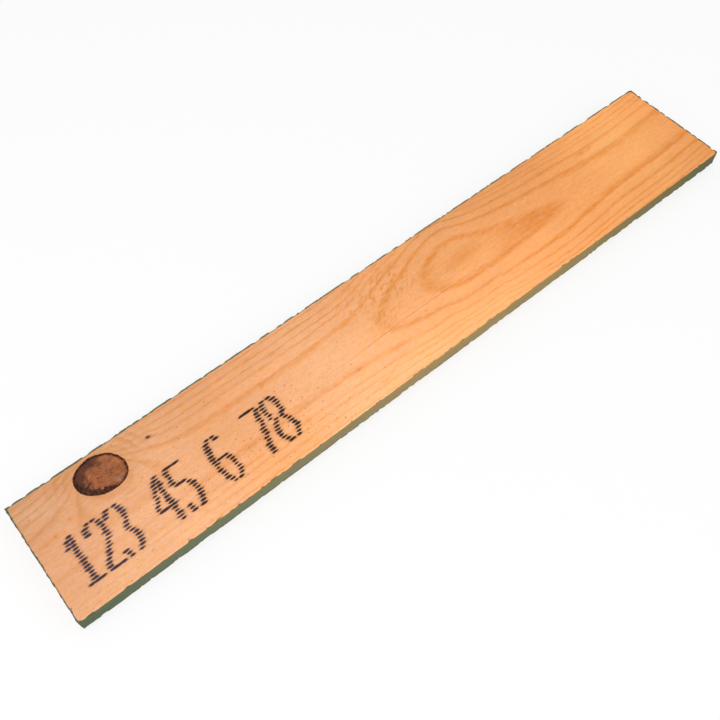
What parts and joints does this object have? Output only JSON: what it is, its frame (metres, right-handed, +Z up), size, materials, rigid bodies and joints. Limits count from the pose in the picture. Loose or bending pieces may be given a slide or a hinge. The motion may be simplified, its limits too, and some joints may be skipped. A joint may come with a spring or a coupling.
{
  "type": "timber plank",
  "caption": "Sawn softwood plank of plain rectangular section, cut square at both ends, with a dark ringed knot near one end; stock for crates, pallets and joinery.",
  "frame": {"origin": "centre of the underside, on the surface the plank lies on", "axes": "+X along the length and the grain, away from the end with the knot; +Y across the width, towards the edge the knot is near; +Z up through the thickness"},
  "size_m": [0.6, 0.095, 0.015],
  "materials": {
    "sawn_softwood": "planed faces, rough-sawn edges and ends, unfinished"
  },
  "bodies": {
    "root": {"plank": "sawn_softwood"}
  },
  "joints": []
}
